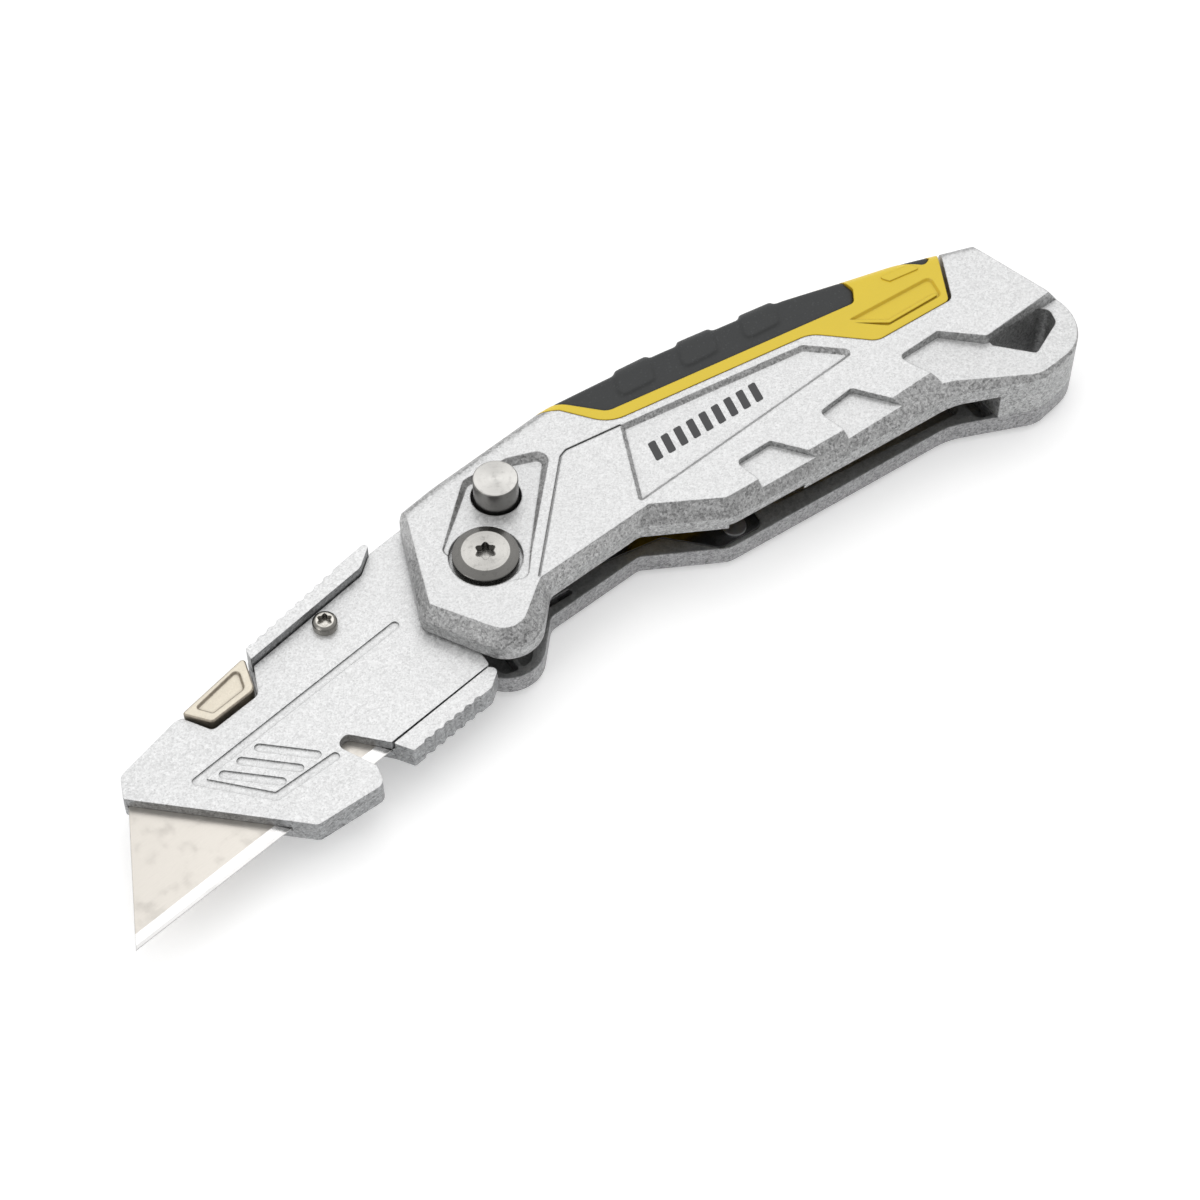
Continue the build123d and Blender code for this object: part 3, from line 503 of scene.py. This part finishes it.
def turned_tree():
    """A turned head with a bevelled rim and a shank, and a six-lobed driver hole in its top.
    The profile's second number is the depth under the top of the head."""
    tree = Tree("turned screw", {"Head radius": "Float", "Head height": "Float", "Bevel width": "Float",
                                 "Bevel height": "Float", "Rim radius": "Float", "Shank radius": "Float",
                                 "Shank length": "Float", "Socket radius": "Float", "Socket depth": "Float",
                                 "Upside down": "Bool", "Finish": "Material"})
    size = tree.given
    rim = tree.sum(size["Head radius"], size["Bevel width"], "SUBTRACT")
    foot = tree.sum(size["Head height"], size["Shank length"])
    corners = [tree.point(), tree.point(rim), tree.point(size["Head radius"], size["Bevel height"]),
               tree.point(size["Head radius"], size["Head height"]),
               tree.point(size["Shank radius"], size["Head height"]),
               tree.point(size["Shank radius"], foot), tree.point(0.0, foot)]
    index = tree.node("GeometryNodeInputIndex")
    pick = tree.tree.nodes.new("GeometryNodeIndexSwitch")
    pick.data_type = "VECTOR"
    while len(pick.index_switch_items) < len(corners):
        pick.index_switch_items.new()
    tree.put(pick.inputs[0], index)
    for k, corner in enumerate(corners):
        tree.put(pick.inputs[k + 1], corner)
    line = tree.node("GeometryNodeCurvePrimitiveLine")
    line = tree.node("GeometryNodeResampleCurve", {}, {"Curve": line, "Count": len(corners)})
    line = tree.node("GeometryNodeSetPosition", {}, {"Geometry": line, "Position": pick.outputs[0]})
    at_rim = tree.node("FunctionNodeCompare", {"data_type": "INT", "operation": "LESS_THAN"},
                       {2: index, 3: 3})
    radius = tree.sum(at_rim, size["Rim radius"], "MULTIPLY")
    line = tree.node("GeometryNodeFilletCurve", {"mode": "POLY"},
                     {"Curve": line, "Count": 4, "Radius": radius, "Limit Radius": True})
    axis = tree.node("GeometryNodeCurvePrimitiveCircle", {"mode": "RADIUS"},
                     {"Resolution": 64, "Radius": 1e-7})
    axis = tree.node("GeometryNodeSetCurveNormal", {"mode": "Z_UP"}, {"Curve": axis})
    body = tree.node("GeometryNodeCurveToMesh", {}, {"Curve": axis, "Profile Curve": line})
    body = tree.node("GeometryNodeMergeByDistance", {}, {"Geometry": body, "Distance": 2e-6})
    lobes = tree.node("GeometryNodeCurvePrimitiveCircle", {"mode": "RADIUS"},
                      {"Resolution": 72, "Radius": 1.0})
    here = tree.node("GeometryNodeInputPosition")
    x = tree.node("ShaderNodeSeparateXYZ", {}, {0: here}, output=0)
    y = tree.node("ShaderNodeSeparateXYZ", {}, {0: here}, output=1)
    angle = tree.sum(y, x, "ARCTAN2")
    wave = tree.sum(tree.sum(angle, 6.0, "MULTIPLY"), 0.0, "COSINE")
    reach = tree.sum(tree.sum(tree.sum(wave, 0.13, "MULTIPLY"), 0.87), size["Socket radius"], "MULTIPLY")
    star = tree.node("ShaderNodeVectorMath", {"operation": "SCALE"}, {0: here, "Scale": reach})
    lobes = tree.node("GeometryNodeSetPosition", {}, {"Geometry": lobes, "Position": star})
    bottom = tree.sum(0.0, size["Socket depth"], "SUBTRACT")
    path = tree.node("GeometryNodeCurvePrimitiveLine", {},
                     {"Start": tree.point(z=bottom), "End": (0, 0, MM)})
    hole = tree.node("GeometryNodeCurveToMesh", {},
                     {"Curve": path, "Profile Curve": lobes, "Fill Caps": True})
    drilled = tree.tree.nodes.new("GeometryNodeMeshBoolean")
    drilled.operation = "DIFFERENCE"
    drilled.solver = "EXACT"
    tree.put(drilled.inputs["Mesh 1"], body)
    tree.put(drilled.inputs["Mesh 2"], hole)
    turn = tree.node("GeometryNodeSwitch", {"input_type": "VECTOR"},
                     {0: size["Upside down"], 1: (0, 0, 0), 2: (math.pi, 0, 0)})
    placed = tree.node("GeometryNodeInstanceOnPoints", {},
                       {"Points": size["Geometry"], "Instance": drilled.outputs[0], "Rotation": turn})
    return tree.end(placed)


def spring_tree():
    """A helical spring standing on each point."""
    tree = Tree("helical spring", {"Coil radius": "Float", "Wire radius": "Float", "Height": "Float",
                                   "Turns": "Float", "Finish": "Material"})
    size = tree.given
    coil = tree.node("GeometryNodeCurveSpiral", {},
                     {"Resolution": 24, "Rotations": size["Turns"], "Height": size["Height"],
                      "Start Radius": size["Coil radius"], "End Radius": size["Coil radius"]})
    wire = tree.node("GeometryNodeCurvePrimitiveCircle", {"mode": "RADIUS"},
                     {"Resolution": 10, "Radius": size["Wire radius"]})
    body = tree.node("GeometryNodeCurveToMesh", {},
                     {"Curve": coil, "Profile Curve": wire, "Fill Caps": True})
    placed = tree.node("GeometryNodeInstanceOnPoints", {}, {"Points": size["Geometry"], "Instance": body})
    return tree.end(placed)


def strip_tree():
    """Slanted strips with rounded corners, one on each point."""
    tree = Tree("row of slanted strips", {"Width": "Float", "Length": "Float", "Slant": "Float",
                                          "Corner radius": "Float", "Thickness": "Float", "Turn": "Float",
                                          "Finish": "Material"})
    size = tree.given
    shape = tree.node("GeometryNodeCurvePrimitiveQuadrilateral", {"mode": "PARALLELOGRAM"},
                      {"Width": size["Width"], "Height": size["Length"], "Offset": size["Slant"]})
    shape = tree.node("GeometryNodeFilletCurve", {"mode": "POLY"},
                      {"Curve": shape, "Count": 4, "Radius": size["Corner radius"], "Limit Radius": True})
    path = tree.node("GeometryNodeCurvePrimitiveLine", {}, {"End": tree.point(z=size["Thickness"])})
    body = tree.node("GeometryNodeCurveToMesh", {},
                     {"Curve": path, "Profile Curve": shape, "Fill Caps": True})
    turn = tree.point(z=size["Turn"])
    placed = tree.node("GeometryNodeInstanceOnPoints", {},
                       {"Points": size["Geometry"], "Instance": body, "Rotation": turn})
    return tree.end(placed)


TURNED = turned_tree()
SPRING = spring_tree()
STRIPS = strip_tree()


def turned(name, points, material, sizes, upside_down=False):
    """A turned piece on each point; the sizes are in millimetres."""
    labels = ["Head radius", "Head height", "Bevel width", "Bevel height", "Rim radius", "Shank radius",
              "Shank length", "Socket radius", "Socket depth"]
    values = {label: size * MM for label, size in zip(labels, sizes)}
    values["Upside down"] = upside_down
    return grown(TURNED, name, points, values, material)


def row(start, end, count):
    """Evenly spaced points along a straight line."""
    return [start.lerp(end, k / (count - 1)) for k in range(count)]


BADGE_LOW = near_pivot(31.6, 3.2, 13.72)
BADGE_HIGH = near_pivot(50.4, 4.3, 13.72)
BADGE_SIZES = {"Width": 1.3 * MM, "Length": 3.4 * MM, "Slant": 0.9 * MM, "Corner radius": 0.25 * MM,
               "Thickness": 0.12 * MM, "Turn": math.radians(4)}
keep(grown(STRIPS, "badge_strips", row(BADGE_LOW, BADGE_HIGH, 9), BADGE_SIZES, INK), "handle", "dark_steel")

ICON_SIZES = {"Width": 5.6 * MM, "Length": 1.5 * MM, "Slant": -1.1 * MM, "Corner radius": 0.3 * MM,
              "Thickness": 0.3 * MM, "Turn": math.radians(-4)}
keep(grown(STRIPS, "blade_icon", [near_pivot(82.3, 11.3, 14.38)], ICON_SIZES, YELLOW),
     "magazine", "yellow_plastic")

keep(turned("pivot_head", [(PIVOT.x, PIVOT.y, PIVOT_TOP)], PIVOT_STEEL,
            [4.9, 2.5, 1.35, 0.62, 0.12, 2.5, 12.7, 1.6, 1.4]),
     "handle", "turned_steel", "pivot_screw")
keep(turned("lock_cap", [(LOCK.x, LOCK.y, LOCK_TOP)], LOCK_STEEL,
            [3.35, 5.4, 0.12, 0.12, 0.05, 1.5, 0.01, 0, 0]),
     "lock", "button_steel", "lock_button")
keep(turned("holder_screw_head", [(HOLDER_SCREW.x, HOLDER_SCREW.y, HOLDER_SCREW_TOP)], NICKEL,
            [1.85, 1.45, 0.5, 0.35, 0.4, 1.0, 3.7, 1.15, 0.95]),
     "blade_holder", "nickel", "holder_screw")


def shell_screw_places():
    """The middles of the three screw heads in the back of the handle."""
    corners = [v.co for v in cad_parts["shell_screws"].data.vertices]
    places = []
    for corner in corners:
        if not any((corner - place).xy.length < 4 * MM for place in places):
            places.append(corner)
    middles = []
    for place in places:
        near = [c for c in corners if (c - place).xy.length < 6 * MM]
        middles.append(((min(c.x for c in near) + max(c.x for c in near)) / 2,
                        (min(c.y for c in near) + max(c.y for c in near)) / 2, min(c.z for c in near)))
    return middles


def spring(name, node, body, coil_radius, wire_radius, turns):
    """A coil spring between its CAD stand-in's ends."""
    low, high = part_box(node)
    middle = (low + high) / 2
    height = high.z - low.z - 2 * wire_radius * MM
    values = {"Coil radius": coil_radius * MM, "Wire radius": wire_radius * MM, "Height": height,
              "Turns": turns}
    start = (middle.x, middle.y, low.z + wire_radius * MM)
    piece = grown(SPRING, name, [start], values, SPRING_WIRE)
    keep(piece, body, "spring_steel", node)
    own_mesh(piece)


keep(turned("back_screw_heads", shell_screw_places(), DARK_STEEL,
            [1.7, 1.4, 0.25, 0.2, 0.1, 1.0, 8.8, 1.0, 0.8], upside_down=True),
     "handle", "dark_steel", "shell_screws")
spring("lock_return_spring", "lock_spring", "handle", 1.2, 0.2, 8.0)
spring("release_return_spring", "release_spring", "blade_holder", 1.1, 0.18, 5.0)


# ---- camera, light and floor ----
BRIGHTEST = (0.3163, 0.4870, 0.8141)
DIM_SIDE = 0.38
BRIGHT_SIDE = 1.0
FLOOR_GLOW = 0.3


def camera():
    data = bpy.data.cameras.new("camera")
    data.lens = 90
    data.sensor_width = 36
    data.clip_start = 0.01
    data.clip_end = 20
    obj = bpy.data.objects.new("camera", data)
    bpy.context.scene.collection.objects.link(obj)
    obj.location = near_pivot(-126.0, -224.3, 363.4)
    obj.rotation_mode = "QUATERNION"
    obj.rotation_quaternion = Vector((0.3163, 0.4870, -0.8141)).to_track_quat("-Z", "Y")
    bpy.context.scene.camera = obj
    bpy.context.scene.view_settings.view_transform = "Standard"


def softbox(name, azimuth, elevation, distance, size, power, colour=(1, 1, 1)):
    """A square area light aimed at the knife; azimuth 0 stands on the +X side."""
    data = bpy.data.lights.new(name, "AREA")
    data.shape = "SQUARE"
    data.size = size
    data.energy = power
    data.color = colour
    obj = bpy.data.objects.new(name, data)
    bpy.context.scene.collection.objects.link(obj)
    azimuth = math.radians(azimuth)
    elevation = math.radians(elevation)
    direction = Vector((math.cos(azimuth) * math.cos(elevation), math.sin(azimuth) * math.cos(elevation),
                        math.sin(elevation)))
    obj.location = direction * distance
    obj.rotation_mode = "QUATERNION"
    obj.rotation_quaternion = direction.to_track_quat("Z", "Y")


def studio():
    """A bright surround, brightest high behind the knife and dimmer on the viewer's side."""
    world = bpy.data.worlds.new("studio")
    world.use_nodes = True
    nodes = world.node_tree.nodes
    links = world.node_tree.links
    direction = nodes.new("ShaderNodeTexCoord").outputs["Generated"]
    toward = nodes.new("ShaderNodeVectorMath")
    toward.operation = "DOT_PRODUCT"
    toward.inputs[1].default_value = BRIGHTEST
    links.new(direction, toward.inputs[0])
    level = nodes.new("ShaderNodeMapRange")
    level.interpolation_type = "SMOOTHSTEP"
    for socket, value in zip(level.inputs[1:5], [-0.3, 0.95, DIM_SIDE, BRIGHT_SIDE]):
        socket.default_value = value
    links.new(toward.outputs["Value"], level.inputs[0])
    nodes["Background"].inputs["Color"].default_value = (1, 1, 1, 1)
    links.new(level.outputs[0], nodes["Background"].inputs["Strength"])
    bpy.context.scene.world = world
    softbox("back softbox", 50, 60, 1.2, 0.7, 1.2)
    softbox("left softbox", 185, 32, 1.2, 0.6, 2.2)


def floor():
    mesh = bpy.data.meshes.new("floor")
    reach = 3.0
    under = -0.05 * MM
    mesh.from_pydata([(-reach, -reach, under), (reach, -reach, under), (reach, reach, under),
                      (-reach, reach, under)], [], [(0, 1, 2, 3)])
    finish = Finish("pale floor", Roughness=0.8, Emission_Color=(1, 1, 1, 1), Emission_Strength=FLOOR_GLOW)
    tone = finish.noise(finish.place(), 0.05, detail=3.0)
    finish.feed("Base Color", finish.tinted((0.93, 0.93, 0.93), 0.99 + (tone - 0.5) * 0.01))
    obj = mesh_object("floor", mesh, finish.material)


camera()
studio()
floor()
